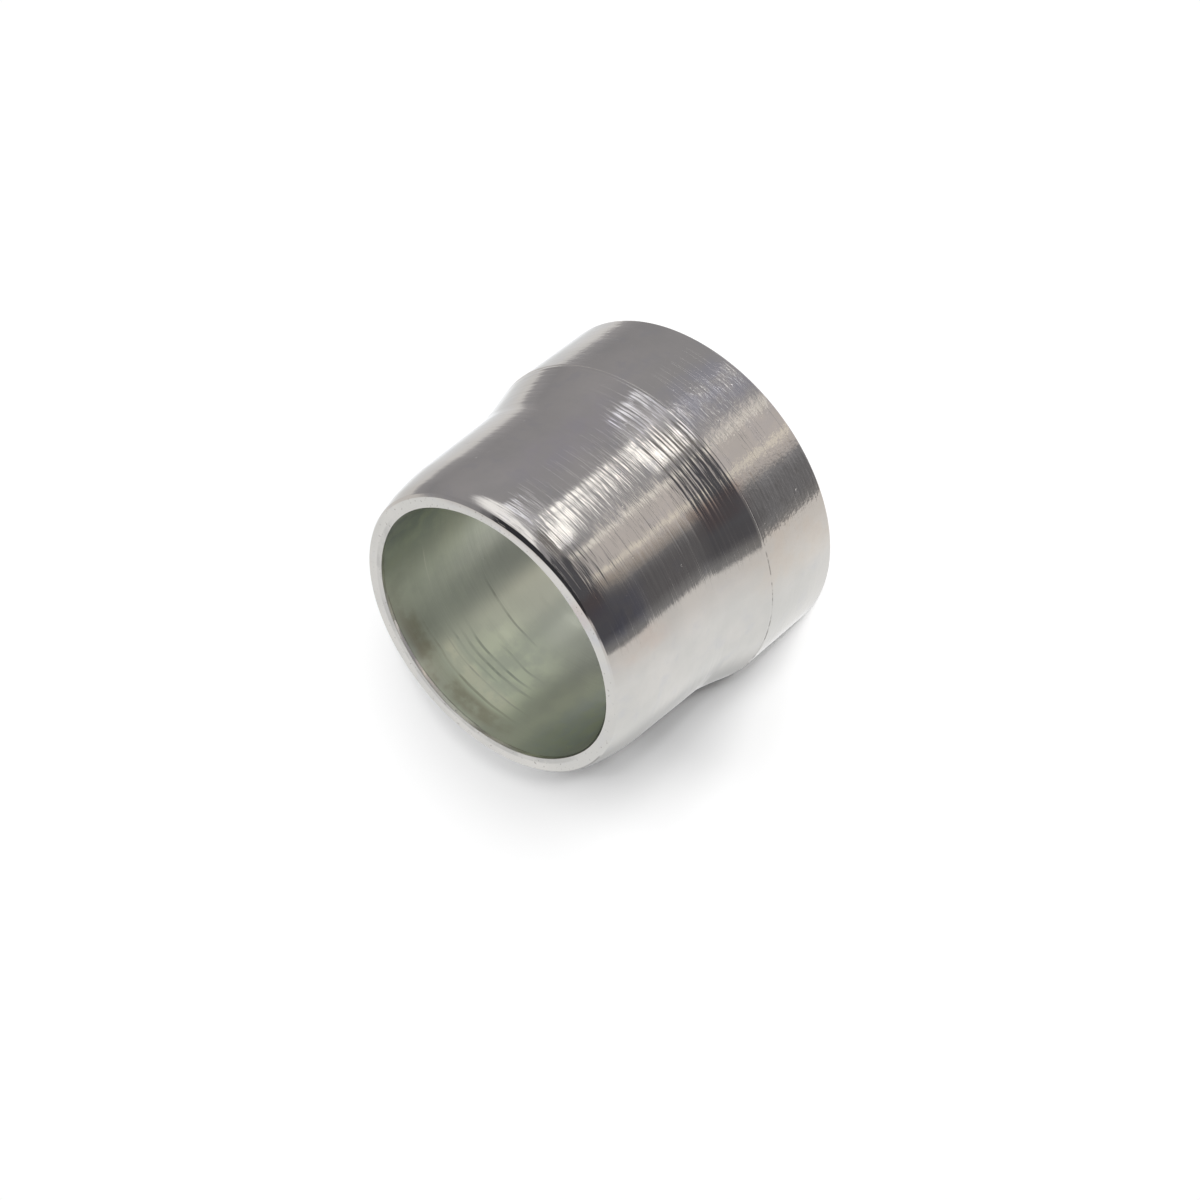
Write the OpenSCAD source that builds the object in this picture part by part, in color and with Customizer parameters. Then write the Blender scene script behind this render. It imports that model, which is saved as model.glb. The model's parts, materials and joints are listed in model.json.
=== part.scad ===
// Crimp ferrule: a one-piece turned sleeve with a wide collar at one end.
// It stands on the collar's flat end, with the bore's axis along +Z.
// The outside steps down from the collar, narrows along a cone, runs on as a
// nearly straight body and rounds over into a thin rim at the far end.
// Each part of the outside is set by the wall that it leaves round the bore.

/* [Bore] */
// Diameter of the plain hole that runs right through
bore_d = 18.7; // [6:0.1:60]
// Width and depth of the chamfer where the bore opens at the collar's end
entry_chamfer = 0.4; // [0.05:0.05:0.6]
// Width of the chamfer where the bore opens at the rim
mouth_chamfer_w = 0.15; // [0.05:0.05:0.4]
// Depth of the chamfer where the bore opens at the rim
mouth_chamfer_h = 0.25; // [0.05:0.05:0.6]

/* [Collar] */
// Wall of the collar, from the bore to the widest outside
collar_wall = 2.65; // [2.2:0.05:6]
// Length of the collar's straight outside
collar_len = 6.2; // [2:0.1:20]
// Chamfer round the collar's flat end
collar_chamfer = 0.05; // [0.02:0.01:0.5]
// Rounded break of the collar's front edge
collar_edge_r = 0.02; // [0.01:0.01:0.2]

/* [Shoulder] */
// How far the outside steps in at the collar's front edge
step_depth = 0.03; // [0.02:0.01:0.3]
// Length of the narrow land in front of the step
land_len = 0.2; // [0.1:0.05:2]
// Length of the cone that leads down to the body
cone_len = 3.45; // [1:0.05:10]
// Radius that rolls the land over into the cone
shoulder_r = 0.8; // [0.2:0.1:12]
// Radius that blends the foot of the cone into the body
throat_r = 5; // [0.5:0.5:12]

/* [Body] */
// Wall of the body at the foot of the cone
neck_wall = 1.77; // [1.2:0.01:4]
// Wall of the body where the nose begins
body_wall = 1.62; // [1.2:0.01:4]
// Length of the nearly straight body
body_len = 6.35; // [2:0.05:30]

/* [Nose] */
// Length over which the outside falls away to the rim
nose_len = 3.8; // [1:0.1:10]
// Wall at the rim, measured before its edges are broken
rim_wall = 1.06; // [0.8:0.01:2]
// Break of the rim's outer edge
rim_break = 0.12; // [0.02:0.01:0.3]
// How much deeper the rim's dished face lies at the bore than at its outside
rim_dish = 0.15; // [0.02:0.01:0.4]

/* [Hidden] */
// Facets round the axis
$fn = 120;
// Straight stretches that each curve of the outline is drawn with
blend_steps = 6;
nose_steps = 12;
edge_steps = 3;
// A blend never takes up more than this share of the straight run beside it
blend_limit_share = 0.48;
// Two unit directions whose cross product is under this share run on straight
straight_share = 0.0001;
// How far the cuts run past the faces that they open
overrun = 1;

bore_r = bore_d / 2;
collar_r = bore_r + collar_wall;
land_r = collar_r - step_depth;
neck_r = bore_r + neck_wall;
body_r = bore_r + body_wall;
rim_r = bore_r + rim_wall;

collar_end = collar_len;
land_end = collar_end + land_len;
cone_end = land_end + cone_len;
body_end = cone_end + body_len;
ferrule_len = body_end + nose_len;

// The rounded nose starts in line with the body, so it carries on its slope
nose_run = nose_len - rim_break;
body_slope = (body_r - neck_r) / body_len;
nose_fall = body_r + body_slope * nose_run - rim_r;

function unit(v) = v / norm(v);

// Points of the arc that rounds corner b of the path a, b, c, or b alone
// where the path runs on straight
function corner_arc(a, b, c, radius, steps) =
    let (
        back = unit(a - b),
        ahead = unit(c - b)
    )
    abs(cross(back, ahead)) < straight_share ? [b] :
    let (
        half_angle = acos(back * ahead) / 2,
        room = blend_limit_share * min(norm(a - b), norm(c - b)),
        run = min(radius / tan(half_angle), room),
        arc_r = run * tan(half_angle),
        centre = b + unit(back + ahead) * arc_r / sin(half_angle),
        start = b + back * run - centre,
        turn = sign(cross(-back, ahead)) * (180 - 2 * half_angle)
    )
    [
        for (i = [0 : steps])
            let (angle = turn * i / steps)
                centre + [
                    start.x * cos(angle) - start.y * sin(angle),
                    start.x * sin(angle) + start.y * cos(angle)
                ]
    ];

// Points of the nose: a fall that grows with the square of the distance
function nose_curve() = [
    for (i = [1 : nose_steps])
        let (share = i / nose_steps)
            [
                body_r + body_slope * nose_run * share - nose_fall * pow(share, 2),
                body_end + nose_run * share
            ]
];

// Half section of the blank, from the axis outwards: [radius, height]
function blank_outline() =
    let (
        collar_corner = [collar_r, collar_end],
        step_corner = [land_r, collar_end],
        land_corner = [land_r, land_end],
        neck_corner = [neck_r, cone_end],
        nose_start = [body_r, body_end]
    )
    concat(
        [[0, 0], [collar_r - collar_chamfer, 0], [collar_r, collar_chamfer]],
        corner_arc([collar_r, collar_chamfer], collar_corner, step_corner, collar_edge_r, edge_steps),
        [step_corner],
        corner_arc(step_corner, land_corner, neck_corner, shoulder_r, blend_steps),
        corner_arc(land_corner, neck_corner, nose_start, throat_r, blend_steps),
        [nose_start],
        nose_curve(),
        [[rim_r - rim_break, ferrule_len], [0, ferrule_len]]
    );

module blank() {
    rotate_extrude()
        polygon(blank_outline());
}

// The plain hole with a chamfer at both of its mouths, and the rim's dished face
module bore_cut() {
    entry_r = bore_r + entry_chamfer;
    mouth_r = bore_r + mouth_chamfer_w;
    face_r = rim_r - rim_break;
    mouth_end = ferrule_len - rim_dish;
    translate([0, 0, -overrun])
        cylinder(h = ferrule_len + 2 * overrun, r = bore_r);
    cylinder(h = entry_chamfer, r1 = entry_r, r2 = bore_r);
    translate([0, 0, -overrun])
        cylinder(h = overrun, r = entry_r);
    translate([0, 0, mouth_end - mouth_chamfer_h])
        cylinder(h = mouth_chamfer_h, r1 = bore_r, r2 = mouth_r);
    translate([0, 0, mouth_end])
        cylinder(h = rim_dish, r1 = mouth_r, r2 = face_r);
    translate([0, 0, ferrule_len])
        cylinder(h = overrun, r = face_r);
}

module ferrule() {
    color("silver")
        difference() {
            blank();
            bore_cut();
        }
}

ferrule();
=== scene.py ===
# %% [markdown]
# A crimp ferrule is a short metal sleeve that is turned on a lathe in one piece
# and then zinc plated. A hose or tube end goes through its bore, and the sleeve
# is squeezed down on it. This script dresses the plain solid of that sleeve: it
# turns a finer skin from the same outline, gives it a plated, tool-marked
# finish, and sets it in a small studio. The fixed solid comes from the frame,
# and every size below is in millimetres until it is turned into metres.

import json
import math

import bpy
import numpy as np
from mathutils import Matrix, Vector


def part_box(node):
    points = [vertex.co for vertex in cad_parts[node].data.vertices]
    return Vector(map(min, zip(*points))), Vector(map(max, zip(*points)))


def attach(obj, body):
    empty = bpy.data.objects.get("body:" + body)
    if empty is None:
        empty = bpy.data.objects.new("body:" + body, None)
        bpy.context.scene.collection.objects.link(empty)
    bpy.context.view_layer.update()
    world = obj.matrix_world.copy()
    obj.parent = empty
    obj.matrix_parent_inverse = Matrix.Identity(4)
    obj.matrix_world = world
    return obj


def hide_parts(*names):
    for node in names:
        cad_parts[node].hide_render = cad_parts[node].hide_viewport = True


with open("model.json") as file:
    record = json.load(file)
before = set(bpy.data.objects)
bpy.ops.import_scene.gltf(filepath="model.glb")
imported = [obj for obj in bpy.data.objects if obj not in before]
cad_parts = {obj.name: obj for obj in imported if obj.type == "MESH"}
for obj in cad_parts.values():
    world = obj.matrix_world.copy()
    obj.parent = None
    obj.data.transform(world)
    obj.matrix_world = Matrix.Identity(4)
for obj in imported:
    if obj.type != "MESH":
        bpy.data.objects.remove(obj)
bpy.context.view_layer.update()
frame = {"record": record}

MM = 0.001
_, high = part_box("ferrule")
collar_r = high.x / MM
ferrule_len = high.z / MM
bore_mount = next(m for m in frame["record"]["mounts"] if m["name"] == "bore")
bore_r = bore_mount["dims"]["r_mm"]
print(f"collar radius {collar_r:.2f}, length {ferrule_len:.2f}, bore radius {bore_r:.2f} mm")

# %% [markdown]
# A turned part is the outline of its half section, swept once round its axis.
# The outline could be drawn as a curve and spun by a modifier, but then the
# rings would fall where the curve puts them. Here the outline is worked out as a
# list of points first, so that the rings lie close together where the light
# shows every tool mark, and far apart inside the bore. These are the sizes that
# the solid was made with, and two of its mouth that the finer skin changes.

# %% Sizes of the outline
collar_len = 6.2
collar_chamfer = 0.05
step_depth = 0.03
land_len = 0.2
cone_len = 3.45
body_len = 6.35
neck_wall = 1.77
body_wall = 1.62
rim_wall = 1.06
rim_break = 0.12
mouth_flare = 0.05
mouth_depth = 0.30
entry_chamfer = 0.4

land_r = collar_r - step_depth
neck_r = bore_r + neck_wall
body_r = bore_r + body_wall
rim_r = bore_r + rim_wall
land_end = collar_len + land_len
cone_end = land_end + cone_len
body_end = cone_end + body_len
nose_run = ferrule_len - body_end - rim_break
body_slope = (body_r - neck_r) / body_len
nose_fall = body_r + body_slope * nose_run - rim_r
print(f"radius of the land {land_r:.2f}, neck {neck_r:.2f}, body {body_r:.2f}, rim {rim_r:.2f} mm")
print(f"the nose falls away by {nose_fall:.2f} mm over its last {nose_run:.2f} mm")

# %% [markdown]
# The tool's tip rounds every corner of the real outline a little, and the nose
# falls away along a curve. A bevel modifier could round the corners of the
# finished mesh, but it would round them all in one way. Two small functions give
# each corner an arc of its own radius, and draw the nose as a parabola that
# starts in line with the body, so no edge shows where the two meet.

# %% Helpers that round a corner and draw the nose
# An arc never takes up more than this share of the straight run beside it
arc_limit_share = 0.48


def corner_arc(before, corner, after, radius, steps):
    """Points of the arc that rounds a corner of the outline."""
    a, b, c = (np.array(p, float) for p in (before, corner, after))
    back = (a - b) / np.linalg.norm(a - b)
    ahead = (c - b) / np.linalg.norm(c - b)
    half = math.acos(float(back @ ahead)) / 2
    room = arc_limit_share * min(np.linalg.norm(a - b), np.linalg.norm(c - b))
    run = min(radius / math.tan(half), room)
    arc_r = run * math.tan(half)
    middle = b + (back + ahead) / np.linalg.norm(back + ahead) * arc_r / math.sin(half)
    start = b + back * run - middle
    side = np.sign(-back[0] * ahead[1] + back[1] * ahead[0])
    turn = side * (math.pi - 2 * half)
    points = []
    for i in range(steps + 1):
        cos = math.cos(turn * i / steps)
        sin = math.sin(turn * i / steps)
        points.append(middle + (start[0] * cos - start[1] * sin, start[0] * sin + start[1] * cos))
    return points


def nose_curve(steps):
    """The nose starts in line with the body and falls with the square of the way."""
    points = []
    for i in range(1, steps):
        share = i / steps
        points.append((
            body_r + body_slope * nose_run * share - nose_fall * share ** 2,
            body_end + nose_run * share,
        ))
    return points


# %% [markdown]
# The real sleeve is cut in this order too: the collar, the step and land at its
# front edge, the cone, the body and the nose, and then the bore from the rim. The
# corners are named first, and the outline visits them one after another, as a
# tool path would. A list of bare points would give the same mesh, but nobody
# could tell which of them belongs to which edge.

# %% The outline, from the collar's flat end round the outside to the bore
foot_r = 0.1
edge_r = 0.02
shoulder_r = 0.8
throat_r = 5.0
rim_outer_r = 0.05
rim_inner_r = 0.06
mouth_r = 0.05
edge_steps = 4
mouth_steps = 5
blend_steps = 12
nose_steps = 40
# How far up the body the coarse grooves reach
grooved_len = 2.5

collar_foot = (collar_r, collar_chamfer)
collar_corner = (collar_r, collar_len)
step_corner = (land_r, collar_len)
land_corner = (land_r, land_end)
neck_corner = (neck_r, cone_end)
groove_end = (neck_r + body_slope * grooved_len, cone_end + grooved_len)
nose_start = (body_r, body_end)
rim_corner = (rim_r, ferrule_len - rim_break)
face_corner = (rim_r - rim_break, ferrule_len)
mouth_corner = (bore_r + mouth_flare, ferrule_len)
bore_top = (bore_r, ferrule_len - mouth_depth)
bore_foot = (bore_r, entry_chamfer)
entry_corner = (bore_r + entry_chamfer, 0)
end_corner = (collar_r - collar_chamfer, 0)
nose_points = nose_curve(nose_steps)

outside = [
    *corner_arc(end_corner, collar_foot, collar_corner, foot_r, edge_steps),
    *corner_arc(collar_foot, collar_corner, step_corner, edge_r, edge_steps),
    step_corner,
    *corner_arc(step_corner, land_corner, neck_corner, shoulder_r, blend_steps),
    *corner_arc(land_corner, neck_corner, nose_start, throat_r, blend_steps),
    groove_end,
    nose_start,
    *nose_points,
    *corner_arc(nose_points[-1], rim_corner, face_corner, rim_outer_r, edge_steps),
]
inside = [
    *corner_arc(rim_corner, face_corner, mouth_corner, rim_inner_r, edge_steps),
    *corner_arc(face_corner, mouth_corner, bore_top, mouth_r, mouth_steps),
    bore_top,
    bore_foot,
    entry_corner,
    end_corner,
]
outline = [tuple(p) for p in outside + inside]
print(f"outline of {len(outline)} points")

# %% [markdown]
# The tool leaves grooves on the metal. Most of them are too small for geometry,
# but the coarser ones on the cone and at the foot of the body bend reflections
# enough to be seen one by one. They are cut into the skin a few thousandths of a
# millimetre deep, so the rings there lie only a few hundredths of a millimetre
# apart. Elsewhere the rings can lie further apart. An even spacing would be
# simpler, but it would spend most of the triangles where nothing happens.

# %% Rings along the outline
# Up to each height, how far apart the rings of the outside lie, in mm
RING_PITCHES = [
    (collar_len - 0.1, 0.12),
    (cone_end + 2.6, 0.032),
    (body_end, 0.08),
    (ferrule_len - 0.5, 0.06),
    (ferrule_len, 0.025),
]
bore_pitch = 1.2
segments = 192


def ring_pitch(height):
    """How far apart the rings of the outside lie at a height."""
    return next(pitch for end, pitch in RING_PITCHES if height <= end)


def with_rings(points, outer_count):
    """Splits long straight runs of the outline, finely outside, coarsely inside."""
    split = []
    count = len(points)
    for i, p in enumerate(points):
        q = points[(i + 1) % count]
        pitch = ring_pitch((p[1] + q[1]) / 2) if i < outer_count else bore_pitch
        pieces = max(1, round(math.dist(p, q) / pitch))
        for k in range(pieces):
            share = k / pieces
            split.append((
                p[0] + (q[0] - p[0]) * share,
                p[1] + (q[1] - p[1]) * share,
                i < outer_count,
            ))
    return split


rings = with_rings(outline, len(outside))
print(f"{len(rings)} rings of {segments}: {2 * len(rings) * segments} triangles")

# %% [markdown]
# The cone is a little hollow, as a free-hand cut leaves it, and coarse grooves
# run round it and round the foot of the body. Each groove starts and ends
# somewhere on the way round, and it climbs a little, because the tool is fed
# along while the part turns. All of them could come from noise, but the ones
# that catch the light in the photograph should lie where they do there. So these
# are placed one by one, and a seeded list fills in the rest.

# %% The grooves that the tool leaves
# Height, first and last angle, depth in thousandths of a millimetre, half width
GROOVES = [
    (6.52, -40, 30, 7.0, 0.05),
    (6.78, -50, 40, 9.0, 0.06),
    (7.04, -20, 36, 6.0, 0.05),
    (7.44, -60, 24, 8.0, 0.06),
    (7.74, -45, 50, 11.0, 0.06),
    (8.02, -35, 42, 11.0, 0.055),
    (8.26, -50, 44, 9.0, 0.05),
    (8.66, -30, 45, 10.0, 0.06),
    (8.84, 14, 60, 8.0, 0.045),
    (9.08, 12, 48, 7.0, 0.045),
    (9.14, -40, 8, 9.0, 0.055),
    (9.46, -12, 46, 9.0, 0.05),
    (10.22, -24, 8, 9.0, 0.05),
    (10.38, 16, 44, 9.0, 0.05),
    (10.95, -20, 4, 9.0, 0.05),
    (11.84, -22, -2, 9.0, 0.05),
]
seeded_count = 90
seeded_reach = 6.0


def seeded_grooves(count):
    """More grooves of the same kind, spread over the cone and the foot of the body."""
    dice = np.random.default_rng(11)
    made = []
    for _ in range(count):
        height = land_end + 0.1 + seeded_reach * dice.random() ** 1.5
        start = 360 * dice.random()
        length = dice.uniform(15, 80)
        depth = dice.uniform(1.5, 6.0)
        half_width = dice.uniform(0.04, 0.07)
        made.append((height, start, start + length, depth, half_width))
    return made


all_grooves = GROOVES + seeded_grooves(seeded_count)
print(f"{len(all_grooves)} grooves, up to {max(g[3] for g in all_grooves):.0f} thousandths of a mm deep")

# %% [markdown]
# A groove is a shallow round-bottomed trough with ends that run out to nothing,
# as the tool does when it lifts. Each one is taken off the radius of the points
# that it passes. A displacement texture would do it as well, but only as finely
# as its picture, while a sum of smooth troughs is exact at every ring.

# %% How deep the tool marks are
# How far a groove climbs in one turn, in mm, and how gently it ends, in degrees
feed = 0.4
groove_fade = 7
cone_hollow = 0.036
hollow_end = cone_end - 0.25


def tool_marks(height, angle):
    """How far the skin dips, in millimetres, at a height and an angle."""
    run = np.clip((height - land_end) / (hollow_end - land_end), 0, 1)
    dip = cone_hollow * np.sin(np.pi * run)
    for middle, first, last, depth, half_width in all_grooves:
        half_arc = (last - first) / 2
        off = (np.degrees(angle) - (first + last) / 2 + 180) % 360 - 180
        along = np.clip((half_arc - np.abs(off)) / groove_fade, 0, 1)
        across = (height - middle - feed * off / 360) / half_width
        dip = dip + depth * MM * along * along * (3 - 2 * along) * np.exp(-across ** 2 / 2)
    return dip


mid_cone = (land_end + hollow_end) / 2
print(f"halfway up the cone the skin dips by {float(tool_marks(mid_cone, 0.0)):.3f} mm")

# %% [markdown]
# The rim was finished by hand. Its outer edge is broken by a different amount on
# each side. Its inner edge leans a little into the bore most of the way round,
# where it was pressed, and is opened into a bevel on one side. Turning alone
# can't make this, because it leaves every side the same. So the last rings are
# moved, by an amount that is read off round the part and changes smoothly in
# between.

# %% The uneven rim
# Angle round the part and how far the outer edge moves in there, in mm
EDGE_BREAK = [
    (-180, 0.0), (-160, 0.06), (-120, 0.10), (-85, 0.0), (-30, 0.0),
    (-15, 0.07), (0, 0.20), (15, 0.29), (30, 0.36), (45, 0.30),
    (60, 0.22), (75, 0.20), (100, 0.05), (125, 0.0), (180, 0.0),
]
# The same for the inner edge: inwards is positive, a bevel is negative
INNER_EDGE = [
    (-180, 0.15), (-165, 0.08), (-150, 0.16), (-120, 0.16), (-100, 0.10), (-85, -0.08),
    (-70, -0.22), (-58, -0.25), (-32, -0.15), (-14, 0.04), (0, 0.08), (60, 0.12),
    (75, 0.08), (92, 0.10), (105, 0.18), (150, 0.20), (165, 0.20), (180, 0.15),
]
# Neighbouring angles that are averaged, so that the edge has no kinks
ease_degrees = (-6, -3, 0, 3, 6)


def read_round(moves, degrees):
    """The amount at each angle, eased between the angles that are given."""
    amount = 0
    for nudge in ease_degrees:
        turned = (degrees + nudge + 180) % 360 - 180
        amount = amount + np.interp(turned, *zip(*moves)) / len(ease_degrees)
    return amount


print(f"outer edge moves in by up to {max(read_round(EDGE_BREAK, np.arange(360))):.2f} mm")
print(f"bevel of up to {-min(read_round(INNER_EDGE, np.arange(360))):.2f} mm at the inner edge")

# %% [markdown]
# Where the outer edge is broken, the nose bends in early, and a short straight
# break follows it to the face. The two could be one long curve, but then the
# face would look narrower and the bright line along its edge would be lost. The
# inner edge moves with the last rings of the bore.

# %% How far the rim is worn
edge_reach = 0.18
nose_reach = 1.2
nose_share = 0.9
bevel_reach = mouth_depth + 0.02
# A break this wide is cut straight in full, and a smaller one in part
full_break = 0.12
outer_margin = 0.08
inner_margin = 0.15


def rim_wear(radius, height, angle):
    """How far the rim's edges move inwards, in millimetres, at a height and an angle."""
    degrees = np.degrees(angle)
    outer = radius > rim_r - rim_break - outer_margin
    inner = radius < bore_r + mouth_flare + inner_margin
    edge_start = ferrule_len - edge_reach
    nose_bend = np.clip((height - (ferrule_len - nose_reach)) / nose_reach, 0, 1) ** 2
    edge_share = np.clip((height - edge_start) / edge_reach, 0, 1)
    inner_share = np.clip((height - (ferrule_len - bevel_reach)) / bevel_reach, 0, 1)

    amount = read_round(EDGE_BREAK, degrees)
    bend = nose_share * amount * nose_bend
    start_r = np.interp(edge_start, [p[1] for p in nose_points], [p[0] for p in nose_points])
    start_r = start_r - nose_share * amount * (1 - edge_reach / nose_reach) ** 2
    straight = start_r + (rim_r - rim_break - amount - start_r) * edge_share
    cut = (edge_share > 0) * np.clip(amount / full_break, 0, 1)
    outer_move = bend + np.maximum(radius - bend - straight, 0) * cut
    return outer * outer_move + read_round(INNER_EDGE, degrees) * inner * inner_share


# %% [markdown]
# The skin is the outline swept round the axis. Each point of the outline becomes
# a ring, and four-cornered faces close the rings to one sleeve, through the bore
# and back to the start. A screw modifier could sweep it, but the grooves and the
# rim's wear move every point by itself, so all the points are worked out at once
# as arrays.

# %% Points and faces of the skin
def skin_points():
    """The points of every ring, in metres, with the grooves and the rim's wear."""
    radius = np.array([r[0] for r in rings])
    height = np.array([r[1] for r in rings])
    outer = np.array([r[2] for r in rings], float)
    angle = 2 * np.pi * np.arange(segments) / segments
    grid_r, grid_a = np.meshgrid(radius, angle, indexing="ij")
    grid_z = np.repeat(height[:, None], segments, axis=1)
    dip = tool_marks(grid_z, grid_a) * outer[:, None] + rim_wear(grid_r, grid_z, grid_a)
    grid_r = grid_r - dip
    return np.stack([grid_r * np.cos(grid_a), grid_r * np.sin(grid_a), grid_z], axis=-1) * MM


def skin_faces():
    """The corners of each face, between one ring and the next."""
    ring = np.arange(len(rings))[:, None]
    seg = np.arange(segments)[None, :]
    next_ring = (ring + 1) % len(rings)
    next_seg = (seg + 1) % segments
    corners = [
        ring * segments + seg,
        ring * segments + next_seg,
        next_ring * segments + next_seg,
        next_ring * segments + seg,
    ]
    return np.stack(np.broadcast_arrays(*corners), axis=-1).reshape(-1, 4)


# %% [markdown]
# A finish that is made of nodes needs no unwrapping, but others may want to bake
# it to a picture, and then the skin needs a map. An automatic unwrap would cut it
# in places that show. A turned sleeve unrolls like a label instead: the way round
# it is one side of the map, and the way along its outline is the other.

# %% Turn the skin
def unroll(mesh):
    """Maps the skin like a label: round the part is u, along the outline is v."""
    radius = np.array([r[0] for r in rings])
    height = np.array([r[1] for r in rings])
    steps = np.hypot(np.diff(np.append(radius, radius[0])), np.diff(np.append(height, height[0])))
    way = np.concatenate([[0], np.cumsum(steps)]) / steps.sum()
    ring, seg = np.indices((len(rings), segments))
    across = np.stack([seg, seg + 1, seg + 1, seg], axis=-1) / segments
    along = np.stack([way[ring], way[ring], way[ring + 1], way[ring + 1]], axis=-1)
    chart = mesh.uv_layers.new(name="OFBake")
    chart.data.foreach_set("uv", np.stack([across, along], axis=-1).astype(np.float32).ravel())


def turned_skin(name):
    """One closed sleeve, smooth shaded."""
    mesh = bpy.data.meshes.new(name)
    mesh.from_pydata(skin_points().reshape(-1, 3).tolist(), [], skin_faces().tolist())
    mesh.polygons.foreach_set("use_smooth", np.ones(len(mesh.polygons), bool))
    unroll(mesh)
    mesh.update()
    made = bpy.data.objects.new(name, mesh)
    bpy.context.scene.collection.objects.link(made)
    return made


skin = turned_skin("turned_sleeve")
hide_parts("ferrule")
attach(skin, "root")
print(f"{skin.name}: {len(skin.data.polygons)} faces")

# %% [markdown]
# A finish is a small tree of nodes. It could be drawn by hand in the node
# editor, but a tree that code builds can be read, changed and built again. One
# helper adds a node and sets or links its inputs, so that each step of the
# finish takes up one line.

# %% A helper that adds a node
def set_or_link(tree, socket, value):
    """Links a socket where the value comes from another node, and sets it otherwise."""
    if isinstance(value, bpy.types.NodeSocket):
        tree.links.new(value, socket)
    else:
        socket.default_value = value


def add(tree, kind, settings=None, **inputs):
    """Adds a node with its own settings and inputs: i0 is the first input, Base_Color a named one."""
    made = tree.nodes.new(kind)
    for key, value in (settings or {}).items():
        setattr(made, key, value)
    for key, value in inputs.items():
        by_number = key[0] == "i" and key[1:].isdigit()
        name = int(key[1:]) if by_number else key.replace("_", " ")
        set_or_link(tree, made.inputs[name], value)
    return made


# %% [markdown]
# The wear and the stains of real metal begin and end gently. So the finish is
# mostly made of three steps: a sum, a ramp that turns a range of values into a
# soft share from 0 to 1, and a blend of two colours by such a share.

# %% Helpers for sums, ramps and blends
def calc(tree, operation, first, second=0.0, third=0.0):
    """One step of arithmetic."""
    return add(tree, "ShaderNodeMath", {"operation": operation}, i0=first, i1=second, i2=third).outputs[0]


def times(tree, first, *others):
    """The product of two or more values."""
    for other in others:
        first = calc(tree, "MULTIPLY", first, other)
    return first


def distance(tree, value, middle):
    """How far a value is from a middle, either way."""
    return calc(tree, "ABSOLUTE", calc(tree, "SUBTRACT", value, middle))


def ramp(tree, value, start, end, low_value=0.0, high_value=1.0, smooth=True):
    """Maps start to low_value and end to high_value, level outside."""
    settings = {"interpolation_type": "SMOOTHSTEP" if smooth else "LINEAR"}
    made = add(tree, "ShaderNodeMapRange", settings, Value=value, From_Min=start, From_Max=end,
               To_Min=low_value, To_Max=high_value)
    return made.outputs["Result"]


def mixed(tree, share, first, second):
    """Blends two colours by a share."""
    return add(tree, "ShaderNodeMix", {"data_type": "RGBA"}, i0=share, i6=first, i7=second).outputs[2]


def add_colour(tree, colour):
    """A node that gives one colour."""
    made = add(tree, "ShaderNodeRGB")
    made.outputs[0].default_value = colour
    return made.outputs[0]


def stops(tree, value, colours):
    """A colour that runs through (value, colour) pairs, level before the first and after the last."""
    colour = add_colour(tree, (*colours[0][1], 1))
    for (start, _), (end, light) in zip(colours, colours[1:]):
        colour = mixed(tree, ramp(tree, value, start, end, smooth=False), colour, (*light, 1))
    return colour


# %% [markdown]
# Turning marks run round the axis, so they are long one way and short the other.
# A stretched picture of them would have to be wrapped round the part, with a
# seam. Noise that is read at x and y on a coarse scale and at z on a fine one has
# the same look, and it needs no unwrapping.

# %% Helpers for noise, plain and drawn out round the axis
def clouds(tree, place, scale, detail):
    """Plain noise, for stains and worn patches."""
    return add(tree, "ShaderNodeTexNoise", None, Vector=place, Scale=scale, Detail=detail).outputs[0]


def streaks(tree, place, arc, axial, detail=2.0, roughness=0.5, shift=0.0):
    """Noise with grains about arc mm long round the part and axial mm wide along it."""
    scale = (1 / (arc * MM), 1 / (arc * MM), 1 / (axial * MM))
    drawn_out = add(tree, "ShaderNodeMapping", None, Vector=place, Location=(shift, shift, shift),
                    Scale=scale).outputs[0]
    settings = {"noise_dimensions": "3D"}
    return add(tree, "ShaderNodeTexNoise", settings, Vector=drawn_out, Scale=1.0, Detail=detail,
               Roughness=roughness).outputs[0]


# %% [markdown]
# The finish of the sleeve is one material: zinc on turned steel. Its relief is
# made of what happened to the real one. The tool left fine marks round the axis.
# One side was handled more than the rest, and there the marks lie in bands of
# bright and dull metal. The same marks all over would be simpler, but they would
# look like a pattern.

# %% Fine marks, and the side that was handled most
def handled_side(tree, angle):
    """1 on the side of the part that was handled most, 0 elsewhere."""
    return times(tree, ramp(tree, angle, -13, -4), ramp(tree, angle, 37, 29))


def fine_share(tree, place, patches, handled, on_collar, off_collar):
    """How strongly the fine marks show: more in worn patches, less on the collar, and in bands."""
    bands = ramp(tree, streaks(tree, place, 3.2, 0.42, 2.0, 0.55, 9.3), 0.38, 0.62, 0.25, 1.7)
    bands = times(tree, calc(tree, "SUBTRACT", bands, 1.0), times(tree, handled, off_collar))
    bands = calc(tree, "ADD", bands, calc(tree, "MULTIPLY_ADD", handled, 0.45, 0.55))
    worn = ramp(tree, patches, 0.38, 0.62, 1.0, 2.2)
    return times(tree, worn, calc(tree, "MULTIPLY_ADD", on_collar, -0.5, 1.0), bands)


# %% [markdown]
# Handling left long thin scratches and a few nicks. A scratch is a thin slice
# through drawn-out noise, where it is highest, and a nick is the middle of a cell
# in a pattern of cells. They could be modelled, but each is a few thousandths of
# a millimetre deep, and the bump shows that as well.

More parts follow.
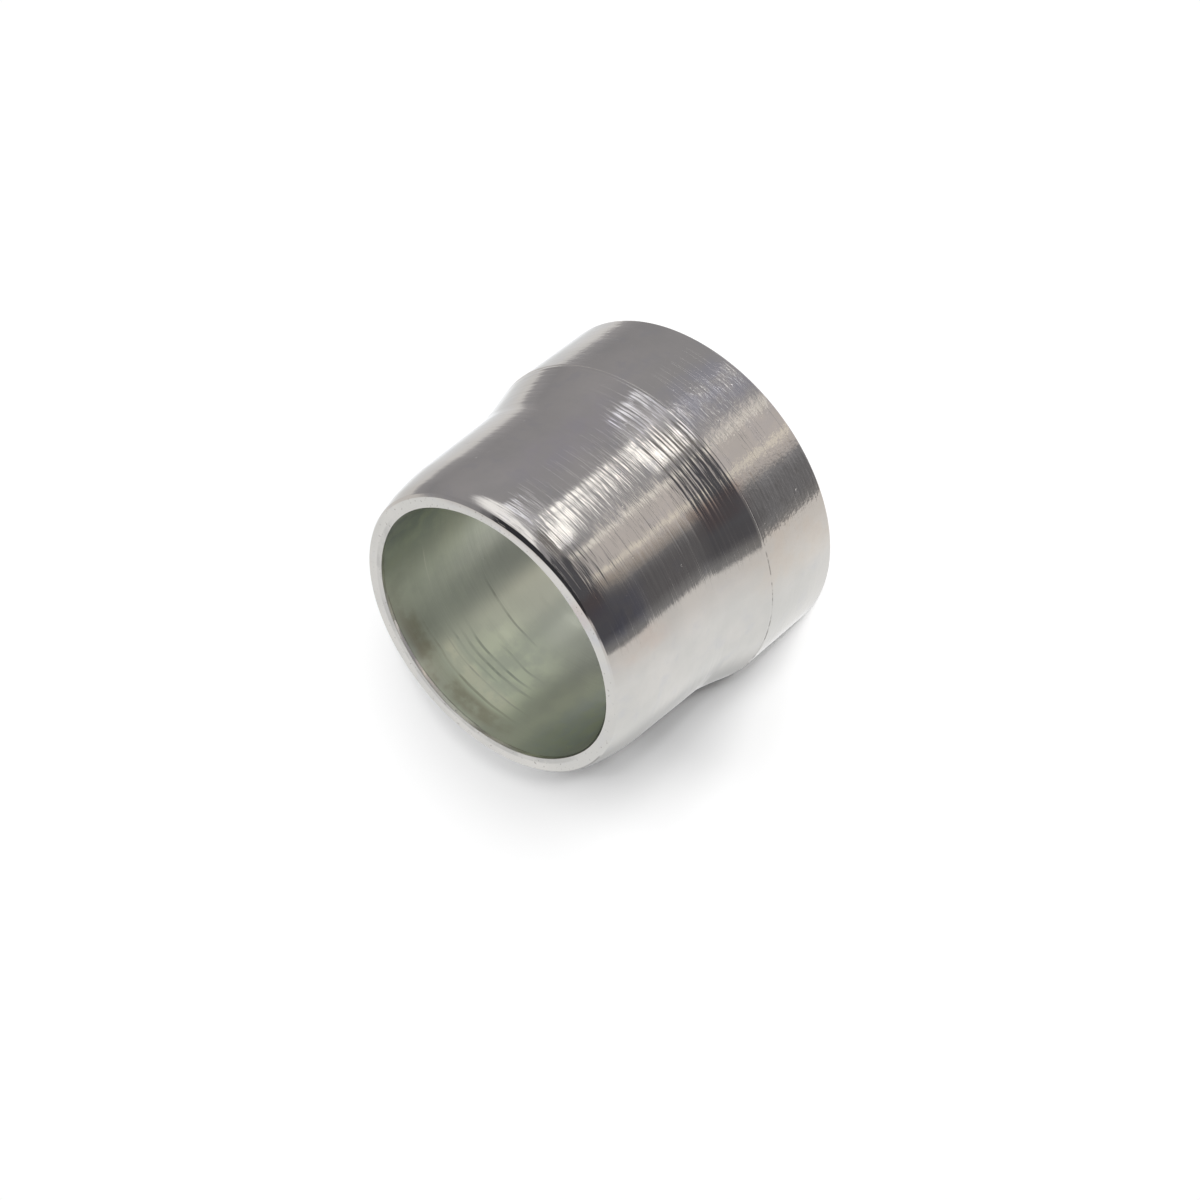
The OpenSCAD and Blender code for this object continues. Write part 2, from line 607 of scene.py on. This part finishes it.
# %% Scratches and nicks
def scratch_depth(tree, place, patches, handled):
    """How deep the scratches and nicks are."""
    marked = calc(tree, "MULTIPLY_ADD", handled, 0.8, 0.2)
    spread = times(tree, ramp(tree, patches, 0.42, 0.60, 0.2, 0.9), marked)
    short_ones = ramp(tree, streaks(tree, place, 2.4, 0.075, 1.0, 0.5, 5.3), 0.61, 0.69)
    long_ones = ramp(tree, streaks(tree, place, 7.0, 0.06, 0.0, 0.5, 6.1), 0.70, 0.76)
    cells = add(tree, "ShaderNodeTexVoronoi", None, Vector=place, Scale=620.0).outputs[0]
    nicks = ramp(tree, cells, 0.07, 0.02)
    depth = times(tree, short_ones, spread)
    depth = calc(tree, "MULTIPLY_ADD", times(tree, long_ones, marked), 1.3, depth)
    return calc(tree, "MULTIPLY_ADD", nicks, 2.5, depth)


# %% [markdown]
# The collar was rolled over rough ground, which left it slightly hammered. This
# is noise with small, nearly round grains, strong on the collar and weak
# elsewhere. The whole relief is then one height, which a bump node can read.

# %% The relief of the metal
def hammered(tree, place, handled, on_collar):
    """The unevenness that rolling over rough ground leaves."""
    rough_ground = times(tree, on_collar, calc(tree, "MULTIPLY_ADD", handled, 1.3, 1.5))
    grains = streaks(tree, place, 0.36, 0.24, 2.0, 0.6, 2.2)
    return times(tree, grains, calc(tree, "ADD", rough_ground, 0.5))


def relief(tree, place, height_mm, angle):
    """The height of the surface in bump steps, and the middle marks by themselves."""
    fine = streaks(tree, place, 5.0, 0.09, 2.0, 0.6)
    middle = streaks(tree, place, 4.0, 0.3, 2.0, 0.55, 3.7)
    broad = streaks(tree, place, 9.0, 1.4, 1.0, 0.5, 8.1)
    patches = clouds(tree, place, 190.0, 2.0)
    handled = handled_side(tree, angle)
    on_collar = ramp(tree, height_mm, collar_len, collar_len - 0.1)
    off_collar = calc(tree, "SUBTRACT", 1.0, on_collar)

    height = times(tree, fine, fine_share(tree, place, patches, handled, on_collar, off_collar))
    middle_share = calc(tree, "MULTIPLY_ADD", times(tree, handled, off_collar), 4.4, 2.4)
    height = calc(tree, "MULTIPLY_ADD", middle, middle_share, height)
    broad_share = calc(tree, "MULTIPLY_ADD", handled, 3.0, 4.0)
    height = calc(tree, "MULTIPLY_ADD", broad, broad_share, height)
    height = calc(tree, "SUBTRACT", height, scratch_depth(tree, place, patches, handled))
    return calc(tree, "ADD", height, hammered(tree, place, handled, on_collar)), middle


# %% [markdown]
# Handling has tarnished the zinc in a few places: brownish on the cone and at the rim, blue beside that,
# straw-coloured on the collar. The bore's plating is satin and grey-green. Its colour also carries painted
# light and shade: lighter in the middle of the far wall, darker towards its sides, and a painted bright
# band a little inside the rim. It is brown and worn just inside the rim, and a few dark lines run round it
# where the drill rubbed. A painted picture could hold all this. Here each stain and each painted patch of
# light and shade is a soft spot at an angle and a height, which noise breaks up, so it can be moved or
# left out by itself.

# %% Spots of another colour, and of painted light and shade
# Angle, height, half arc in degrees, half height in mm, strength, colour
TARNISH = [
    (-14, 7.9, 5, 2.2, 0.55, (0.62, 0.46, 0.42, 1)),
    (-15, 19.3, 6, 0.8, 0.50, (0.62, 0.45, 0.40, 1)),
    (-22, 17.9, 7, 2.0, 0.60, (0.52, 0.54, 0.66, 1)),
    (-38, 3.2, 12, 4.5, 0.35, (0.72, 0.62, 0.52, 1)),
    (-35, 17.0, 5, 2.0, 0.30, (0.74, 0.60, 0.52, 1)),
    (36, 12.0, 9, 5.0, 0.30, (0.66, 0.62, 0.70, 1)),
    (17, 3.0, 9, 3.6, 0.55, (0.60, 0.61, 0.71, 1)),
    (-20, 3.0, 8, 3.6, 0.85, (0.86, 0.85, 0.84, 1)),
]
# The same for the bore, with the angle counted from the side that the camera sees. Most of the broad spots
# are painted light and shade: lighter in the middle of the far wall, darker and bluer towards its sides,
# and a painted bright band a little inside the rim. The brown spot and the thin lines are the bore's own
# marks.
BORE_LIGHT_SHADE_AND_MARKS = [
    (-66, 17.5, 17, 4.0, 0.90, (0.53, 0.565, 0.57, 1)),
    (-36, 18.4, 30, 1.8, 1.00, (0.61, 0.635, 0.565, 1)),
    (-38, 12.0, 22, 6.0, 0.80, (0.67, 0.705, 0.64, 1)),
    (44, 13.0, 13, 6.0, 0.80, (0.67, 0.70, 0.64, 1)),
    (15, 14.8, 20, 3.8, 1.00, (0.93, 0.98, 0.83, 1)),
    (66, 16.0, 17, 4.5, 0.90, (0.70, 0.735, 0.76, 1)),
    (2, 18.75, 36, 0.75, 0.95, (0.50, 0.48, 0.39, 1)),
    (10, 17.05, 19, 0.65, 1.40, (1.0, 1.0, 0.86, 1)),
    (-3, 11.7, 17, 0.09, 0.80, (0.46, 0.49, 0.43, 1)),
    (18, 13.7, 12, 0.09, 0.60, (0.50, 0.54, 0.47, 1)),
    (8, 14.8, 19, 0.11, 0.85, (0.48, 0.52, 0.46, 1)),
    (10, 15.5, 20, 0.12, 0.95, (0.45, 0.49, 0.43, 1)),
    (2, 16.1, 15, 0.09, 0.70, (0.48, 0.52, 0.46, 1)),
    (12, 16.75, 24, 0.07, 0.60, (0.58, 0.60, 0.54, 1)),
    (6, 17.75, 28, 0.09, 0.70, (0.46, 0.46, 0.38, 1)),
    (-42, 16.0, 9, 0.05, 0.80, (0.90, 0.91, 0.84, 1)),
]


def spotted(tree, tint, spots, angle, height_mm, blotch):
    """Lays soft spots over a colour, each broken up by noise."""
    for middle_angle, middle_height, half_arc, half_height, strength, colour in spots:
        off = distance(tree, angle, middle_angle)
        along = distance(tree, height_mm, middle_height)
        spot = times(
            tree,
            ramp(tree, off, half_arc * 1.3, half_arc * 0.5),
            ramp(tree, along, half_height * 1.4, half_height * 0.4),
            ramp(tree, blotch, 0.36, 0.60, 0.35 * strength, strength),
        )
        tint = mixed(tree, spot, tint, colour)
    return tint


print(f"{len(TARNISH)} spots outside, {len(BORE_LIGHT_SHADE_AND_MARKS)} in the bore")

# %% [markdown]
# Zinc is a little cloudy, so the colour of the outside wanders between two greys before the spots are laid
# over it. A thin broken line of painted shade darkens the corner in front of the collar. One flat grey
# would be nearer to new plating, but the real part has been handled.

# %% The colour of the outside and of the bore
def outside_colour(tree, place, height_mm, angle, blotch):
    """Cloudy zinc with its tarnish and a thin line of painted shade in the corner at the collar."""
    cloud = clouds(tree, place, 260.0, 3.0)
    tint = mixed(tree, ramp(tree, cloud, 0.35, 0.65), (0.650, 0.638, 0.622, 1), (0.705, 0.685, 0.665, 1))
    tint = mixed(tree, ramp(tree, blotch, 0.52, 0.70, 0.0, 0.3), tint, (0.60, 0.60, 0.64, 1))
    tint = spotted(tree, tint, TARNISH, angle, height_mm, blotch)

    # Painted shade: a thin broken dark line in the corner in front of the collar.
    corner_shade = ramp(tree, distance(tree, height_mm, collar_len), 0.055, 0.02)
    broken = ramp(tree, streaks(tree, place, 0.9, 0.9, 2.0, 0.6, 1.3), 0.42, 0.56)
    corner_shade = times(tree, corner_shade, broken, ramp(tree, angle, -24, -34), 0.6)
    return mixed(tree, corner_shade, tint, (0.22, 0.21, 0.20, 1))


def bore_colour(tree, place, height_mm, far_angle, blotch):
    """Satin grey-green with painted light and shade and its marks, whose edges waver a little."""
    wavy = calc(tree, "MULTIPLY_ADD", streaks(tree, place, 3.0, 3.0, 1.0, 0.5, 4.4), 0.5, -0.25)
    wavy = calc(tree, "ADD", height_mm, wavy)
    satin = add_colour(tree, (0.745, 0.780, 0.695, 1))
    # Most of the bore's spots are painted light and shade, laid over the satin colour.
    return spotted(tree, satin, BORE_LIGHT_SHADE_AND_MARKS, far_angle, wavy, blotch)


# %% [markdown]
# The rim's face has painted shade towards the bore on the side nearest the camera, and a few dark nicks. A
# thin brown line of painted shade runs round just inside the mouth, in the corner where the mouth meets
# the bore. Both are laid over the colour by their place on the part, so the one material can cover the
# whole sleeve and no face needs another.

# %% The colour of the rim, and the whole
def rim_colour(tree, place, tint, radius, height_mm, far_angle, blotch):
    """Paints shade on the inner half of the rim's face on the near side, and adds nicks."""
    on_face = ramp(tree, height_mm, ferrule_len - 0.03, ferrule_len - 0.01)
    inner_half = ramp(tree, radius, (bore_r + 0.36) * MM, (bore_r + 0.20) * MM)
    near_side = ramp(tree, calc(tree, "ABSOLUTE", far_angle), 95, 75)
    uneven = ramp(tree, blotch, 0.38, 0.58, 0.4, 1.0)
    # Painted shade: the inner half of the rim's face is darker on the side nearest the camera.
    face_shade = times(tree, on_face, times(tree, inner_half, near_side), uneven)
    tint = mixed(tree, face_shade, tint, (0.54, 0.53, 0.52, 1))
    nicks = ramp(tree, clouds(tree, place, 3800.0, 1.0), 0.66, 0.72)
    return mixed(tree, times(tree, nicks, on_face, 0.45), tint, (0.30, 0.28, 0.27, 1))


def mouth_shade_line(tree, tint, height_mm, in_bore, blotch):
    """A thin broken line of painted shade just inside the mouth, in the corner where it meets the bore."""
    # Painted shade: a thin broken dark line in the corner just inside the mouth.
    line = ramp(tree, distance(tree, height_mm, ferrule_len - mouth_depth - 0.04), 0.07, 0.02)
    line = times(tree, line, in_bore, ramp(tree, blotch, 0.40, 0.58, 0.10, 0.65))
    return mixed(tree, line, tint, (0.30, 0.28, 0.24, 1))


def metal_colour(tree, place, radius, height_mm, angle, in_bore):
    """The colour of the whole sleeve."""
    far_angle = calc(tree, "MODULO", calc(tree, "ADD", angle, 360.0), 360.0)
    far_angle = calc(tree, "SUBTRACT", far_angle, 180.0)
    blotch = clouds(tree, place, 700.0, 4.0)
    tint = outside_colour(tree, place, height_mm, angle, blotch)
    tint = mixed(tree, in_bore, tint, bore_colour(tree, place, height_mm, far_angle, blotch))
    tint = rim_colour(tree, place, tint, radius, height_mm, far_angle, blotch)
    return mouth_shade_line(tree, tint, height_mm, in_bore, blotch)


# %% [markdown]
# The relief bends reflections, and the marks also vary the roughness, so a
# highlight breaks up into short bright lines. Real grooves blur reflections
# along the axis and leave them sharp round it. Cutting every one of them would
# take millions of faces, and the shader's anisotropy does the same, with its
# tangent turned round the axis.

# %% Plated steel
# One step of the relief, in metres
bump_step = 0.000004


def plated_steel():
    """Bright zinc outside and satin in the bore, by their place on the part."""
    material = bpy.data.materials.new("plated_steel")
    material.use_nodes = True
    tree = material.node_tree
    tree.nodes.clear()
    place = add(tree, "ShaderNodeTexCoord").outputs["Object"]
    x, y, z = add(tree, "ShaderNodeSeparateXYZ", None, Vector=place).outputs
    radius = calc(tree, "SQRT", calc(tree, "ADD", times(tree, x, x), times(tree, y, y)))
    height_mm = calc(tree, "DIVIDE", z, MM)
    angle = calc(tree, "DEGREES", calc(tree, "ARCTAN2", y, x))
    mouth = ferrule_len - mouth_depth
    in_bore = times(tree, ramp(tree, radius, (bore_r + 0.06) * MM, (bore_r + 0.02) * MM),
                    ramp(tree, height_mm, mouth + 0.03, mouth - 0.03))

    surface, middle = relief(tree, place, height_mm, angle)
    bump = add(tree, "ShaderNodeBump", None, Height=surface, Strength=1.0, Distance=bump_step)
    rough = ramp(tree, middle, 0.3, 0.7, 0.06, 0.12, False)
    rough = calc(tree, "ADD", rough, times(tree, in_bore, 0.25))
    tangent = add(tree, "ShaderNodeTangent", {"direction_type": "RADIAL", "axis": "Z"}).outputs[0]
    shader = add(tree, "ShaderNodeBsdfPrincipled", None,
                 Base_Color=metal_colour(tree, place, radius, height_mm, angle, in_bore),
                 Metallic=1.0, Roughness=rough, Anisotropic=0.8, Anisotropic_Rotation=0.25,
                 Normal=bump.outputs[0], Tangent=tangent)
    add(tree, "ShaderNodeOutputMaterial", None, Surface=shader.outputs[0])
    return material


steel = plated_steel()
skin.data.materials.append(steel)
print(f"{steel.name}: {len(steel.node_tree.nodes)} nodes")

# %% [markdown]
# The camera stands where the photograph was taken from, as seen from the
# ferrule. The ferrule lay on its side there, and here it stands on its collar.
# Laying the part down would give the picture too, but the part has to stand as
# its solid does. So the camera is rolled instead, and the picture comes out the
# same way up as the photograph.

# %% The camera
eye = Vector((157.32, -0.63, 120.82)) * MM
aim = Vector((-0.71, -2.66, 11.10)) * MM
roll = math.radians(-128.83)
lens = 88.69
sensor = 36
nearest = 0.005

forward = (aim - eye).normalized()
level = forward.cross(Vector((0, 0, 1))).normalized()
upright = level.cross(forward)
right = level * math.cos(roll) + upright * math.sin(roll)
up = upright * math.cos(roll) - level * math.sin(roll)
camera_data = bpy.data.cameras.new("camera")
camera_data.lens = lens
camera_data.sensor_width = sensor
camera_data.clip_start = nearest
camera = bpy.data.objects.new("camera", camera_data)
axes = Matrix((right, up, -forward)).transposed()
camera.matrix_world = Matrix.Translation(eye) @ axes.to_4x4()
bpy.context.scene.collection.objects.link(camera)
bpy.context.scene.camera = camera
print(f"camera {(eye - aim).length / MM:.0f} mm from the ferrule, lens {lens} mm")

# %% [markdown]
# Bare metal shows little but its surroundings, so the studio matters as much as
# the finish. It is built from what the photograph's metal reflects: a white
# table below, a soft grey room, large light panels overhead and a dark area
# beside the object. These surround the object in the directions that they had
# while it lay on its side. They could be real panels in the scene, but then they
# would light the floor and get in the way of other views, so they are drawn on
# the sky.

# %% Directions of the studio
table_tilt = math.radians(35.84)
studio_up = up * math.cos(table_tilt) - forward * math.sin(table_tilt)
studio_ahead = forward * math.cos(table_tilt) + up * math.sin(table_tilt)
studio_right = right.copy()
lean_of_room = math.degrees(studio_up.angle(Vector((0, 0, 1))))
print(f"the room's upright leans {lean_of_room:.0f} degrees from the part's axis")

# %% [markdown]
# Each panel is a patch between two directions round the object and two heights
# above the table, with soft sides. The first ones lie behind the later ones, so
# a bright panel can lie on a dimmer skirt. Their places and tones were tried one
# panel at a time, until the metal looked as it does in the photograph.

# %% The panels
# From and to round the object, from and to above the table, in degrees, how
# soft the sides and the ends are, how much the panel leans, and its colour
PANELS = [
    # the pale ceiling, brightest straight overhead
    ((-181, 181), (74, 100), (6, 6), 0, (0.50, 0.49, 0.50)),
    ((-181, 181), (86, 100), (6, 2), 0, (0.95, 0.94, 1.00)),
    # warm wall to the right, with a lighter strip along its top and its foot
    ((64, 114.5), (19.5, 50), (5, 2.5), 0.28, (0.62, 0.575, 0.545)),
    ((64, 114.5), (45.8, 49.4), (5, 1.2), 0.28, (0.97, 0.92, 0.84)),
    ((64, 114.5), (27, 30.2), (5, 1.2), 0.28, (0.88, 0.81, 0.70)),
    ((93, 114.5), (19, 25.5), (2.5, 2.5), 0.28, (0.52, 0.455, 0.395)),
    ((62, 77), (48.5, 53), (3, 2), 0.28, (0.72, 0.68, 0.65)),
    # the large panel overhead with its softer skirt, and a narrow one to the left
    ((38, 100), (58.5, 75), (6, 3.5), 0, (0.80, 0.78, 0.76)),
    ((41, 114), (62.8, 74), (3, 1.8), 0, (1.90, 1.84, 1.76)),
    ((52, 56), (58, 76), (1.5, 2), 0, (0.66, 0.65, 0.65)),
    ((76, 81), (58, 76), (1.5, 2), 0, (0.60, 0.59, 0.60)),
    ((99, 103), (62, 76), (1.2, 2), 0, (0.60, 0.58, 0.57)),
    ((-54, -24), (69, 88), (2.5, 3), 0, (1.42, 1.42, 1.50)),
    # the dark side of the room, darkest away from the wall
    ((84, 181), (-30, 18), (6, 8), 0.28, (0.170, 0.165, 0.166)),
    ((94, 181), (-30, 19), (8, 9), 0.28, (0.120, 0.115, 0.120)),
    ((110, 181), (-30, 14), (6, 5), 0, (0.098, 0.095, 0.102)),
    ((114.5, 181), (12, 60), (1.5, 4), 0, (0.098, 0.097, 0.106)),
    ((115, 181), (60, 80), (3, 3), 0, (0.25, 0.235, 0.225)),
    # the dark side is lighter low down, near the table
    ((70, 181), (-30, -1), (8, 5), 0, (0.25, 0.245, 0.245)),
    # behind the camera: dark below, a light opening above
    ((-181, -110), (-12, 45), (5, 5), 0, (0.04, 0.04, 0.045)),
    ((-160, -60), (50, 75), (6, 6), 0, (1.2, 1.18, 1.16)),
]
# Leaning panels are level with the others at this direction round the object
lean_middle = 84


def panel_share(tree, round_it, above, panel):
    """1 inside a panel, 0 outside it, and soft in between."""
    (left, far), (low_edge, high_edge), (side_soft, end_soft), lean, _ = panel
    height = calc(tree, "SUBTRACT", above, calc(tree, "MULTIPLY_ADD", round_it, lean, -lean_middle * lean))
    sides = times(tree, ramp(tree, round_it, left - side_soft, left + side_soft),
                  ramp(tree, round_it, far + side_soft, far - side_soft))
    ends = times(tree, ramp(tree, height, low_edge - end_soft, low_edge + end_soft),
                 ramp(tree, height, high_edge + end_soft, high_edge - end_soft))
    return times(tree, sides, ends)


print(f"{len(PANELS)} panels")

# %% [markdown]
# The table fills the lower half of what the metal mirrors. It is darker near the
# horizon and brightest straight ahead, where it is lit most, and the object's own
# shade lies on it underneath. A plain white plane would mirror as one flat tone,
# and the metal would look like paper there.

# %% The room and the table
# The room's colour low down and higher up
ROOM = [(5, (0.385, 0.375, 0.382)), (16, (0.320, 0.312, 0.320)), (48, (0.372, 0.362, 0.370))]
# The table's colour, from just under the horizon down to the foot of the object
TABLE = [
    (2, (0.715, 0.685, 0.655)),
    (14, (0.755, 0.730, 0.705)),
    (24, (0.850, 0.838, 0.820)),
    (33, (0.900, 0.902, 0.890)),
    (60, (0.905, 0.912, 0.900)),
]
# The same for the side that lies straight ahead
TABLE_AHEAD = [
    (2, (0.750, 0.736, 0.720)),
    (9, (0.752, 0.750, 0.757)),
    (17, (0.790, 0.800, 0.805)),
    (24, (1.03, 1.048, 1.07)),
    (31, (1.12, 1.14, 1.15)),
    (39, (1.00, 1.01, 1.01)),
    (46, (0.92, 0.92, 0.91)),
]
OWN_SHADE = (0.49, 0.495, 0.49, 1)


def table_colour(tree, round_it, above):
    """The table's colour in each direction, with the object's own shade."""
    depth = times(tree, above, -1.0)
    ahead = ramp(tree, calc(tree, "ABSOLUTE", round_it), 65, 5)
    table = mixed(tree, ahead, stops(tree, depth, TABLE), stops(tree, depth, TABLE_AHEAD))
    shade_edge = calc(tree, "ADD", ramp(tree, round_it, 0, 20, 38, 46.5, False),
                      ramp(tree, round_it, 20, 45, 0, 5, False))
    near = ramp(tree, calc(tree, "SUBTRACT", depth, shade_edge), -2.0, 3.5)
    return mixed(tree, times(tree, ahead, near), table, OWN_SHADE)


def table_share(tree, round_it, above):
    """1 below the table's far edge, which stands higher on the left and is out of focus."""
    horizon = calc(tree, "ADD", ramp(tree, round_it, -15, 84, 3.0, -4.6, False),
                   ramp(tree, round_it, 84, 100, 0.0, -3.2, False))
    blur = ramp(tree, round_it, -15, 92, 3.0, 1.4, False)
    below = calc(tree, "DIVIDE", calc(tree, "SUBTRACT", horizon, above), blur)
    return ramp(tree, below, -1.0, 1.0)


# %% [markdown]
# Only reflections see the studio. The camera sees plain white behind the object,
# and a little even light fills the rest. One background for all of them would
# put the panels into the picture, so the light path decides which one a ray gets.

# %% The studio, seen by reflections
fill_light = 0.05


def studio_colour(tree):
    """The studio's colour in each direction."""
    ray = add(tree, "ShaderNodeTexCoord").outputs["Generated"]

    def towards(direction):
        made = add(tree, "ShaderNodeVectorMath", {"operation": "DOT_PRODUCT"}, i0=ray, i1=tuple(direction))
        return made.outputs["Value"]

    round_it = calc(tree, "DEGREES", calc(tree, "ARCTAN2", towards(studio_right), towards(studio_ahead)))
    above = calc(tree, "DEGREES", calc(tree, "ARCSINE", towards(studio_up)))
    colour = stops(tree, above, ROOM)
    for panel in PANELS:
        colour = mixed(tree, panel_share(tree, round_it, above, panel), colour, (*panel[-1], 1))
    table = table_colour(tree, round_it, above)
    return mixed(tree, table_share(tree, round_it, above), colour, table)


def studio_world():
    """A world that reflections see as the studio and the camera as plain white."""
    world = bpy.data.worlds.new("studio")
    world.use_nodes = True
    tree = world.node_tree
    tree.nodes.clear()
    path = add(tree, "ShaderNodeLightPath")
    seen = add(tree, "ShaderNodeBackground", None, Color=(1, 1, 1, 1), Strength=1.0)
    fill = add(tree, "ShaderNodeBackground", None, Color=(1, 1, 1, 1), Strength=fill_light)
    studio = add(tree, "ShaderNodeBackground", None, Color=studio_colour(tree), Strength=1.0)
    lit = add(tree, "ShaderNodeMixShader", None, i0=path.outputs["Is Glossy Ray"], i1=fill.outputs[0],
              i2=studio.outputs[0])
    both = add(tree, "ShaderNodeMixShader", None, i0=path.outputs["Is Camera Ray"], i1=lit.outputs[0],
               i2=seen.outputs[0])
    add(tree, "ShaderNodeOutputWorld", None, Surface=both.outputs[0])
    return world


bpy.context.scene.world = studio_world()
print(f"studio: {len(bpy.context.scene.world.node_tree.nodes)} nodes")

# %% [markdown]
# The floor is a sheet of white paper. The lamps alone would leave the shadow much
# too dark in views from the sides. More lamps would lighten it, but they would
# widen it too, so the paper has a little glow of its own, for the camera only.
# Reflections pass through the floor, because the metal mirrors the studio's table
# there.

# %% The floor
floor_size = 6.0
floor_gap = 0.00002
floor_paint = 0.9
floor_glow = 0.075


def white_paper():
    """Matt white that reflections pass through."""
    material = bpy.data.materials.new("pale_floor")
    material.use_nodes = True
    tree = material.node_tree
    tree.nodes.clear()
    path = add(tree, "ShaderNodeLightPath")
    paint = add(tree, "ShaderNodeBsdfDiffuse", None, Color=(floor_paint, floor_paint, floor_paint, 1))
    lift = times(tree, path.outputs["Is Camera Ray"], floor_glow)
    glow = add(tree, "ShaderNodeEmission", None, Color=(1, 1, 1, 1), Strength=lift)
    pale = add(tree, "ShaderNodeAddShader", None, i0=paint.outputs[0], i1=glow.outputs[0])
    clear = add(tree, "ShaderNodeBsdfTransparent")
    both = add(tree, "ShaderNodeMixShader", None, i0=path.outputs["Is Glossy Ray"], i1=pale.outputs[0],
               i2=clear.outputs[0])
    add(tree, "ShaderNodeOutputMaterial", None, Surface=both.outputs[0])
    return material


def pale_floor():
    """A square sheet just under the collar's flat end."""
    mesh = bpy.data.meshes.new("floor")
    half = floor_size / 2
    corners = [(-half, -half), (half, -half), (half, half), (-half, half)]
    mesh.from_pydata([(x, y, -floor_gap) for x, y in corners], [], [(0, 1, 2, 3)])
    mesh.materials.append(white_paper())
    floor = bpy.data.objects.new("floor", mesh)
    bpy.context.scene.collection.objects.link(floor)
    return floor


pale_floor()
print(f"floor of {floor_size} m, {floor_gap / MM:.2f} mm under the ferrule")

# %% [markdown]
# The shadow in the photograph is pale and soft, and wider than it is deep: the
# light came from a long window behind the camera. Three weak suns side by side
# give the same shadow, and two more, almost in line with the camera, give the
# narrow dark seam close to the object. One large area lamp would be nearer to a
# window, but its shadow would change with each move of the lamp. Each sun has
# the share of the floor's white that it adds. Reflections don't see them,
# because the metal already mirrors the studio.

# %% The lamps
# How far right of the camera, above it and across, in degrees, and the share of white
LAMPS = [
    (2, 9, 10, 0.280),
    (-10, 8, 10, 0.280),
    (-26, 5, 10, 0.115),
    (2.0, 4.8, 1.8, 0.145),
    (-3, 4.3, 1.8, 0.085),
]


def soft_lamp(name, to_right, above, across, share):
    """A sun that gives the floor a share of its white."""
    towards = -forward + up * math.tan(math.radians(above)) + right * math.tan(math.radians(to_right))
    towards.normalize()
    light = bpy.data.lights.new(name, "SUN")
    light.energy = share * math.pi / (floor_paint * towards.z)
    light.angle = math.radians(across)
    lamp = bpy.data.objects.new(name, light)
    lamp.rotation_mode = "QUATERNION"
    lamp.rotation_quaternion = towards.to_track_quat("Z", "Y")
    lamp.visible_glossy = False
    bpy.context.scene.collection.objects.link(lamp)
    print(f"{name}: energy {light.energy:.2f}")


for number, lamp_values in enumerate(LAMPS, 1):
    soft_lamp(f"lamp_{number}", *lamp_values)
bpy.context.scene.view_settings.view_transform = "Standard"
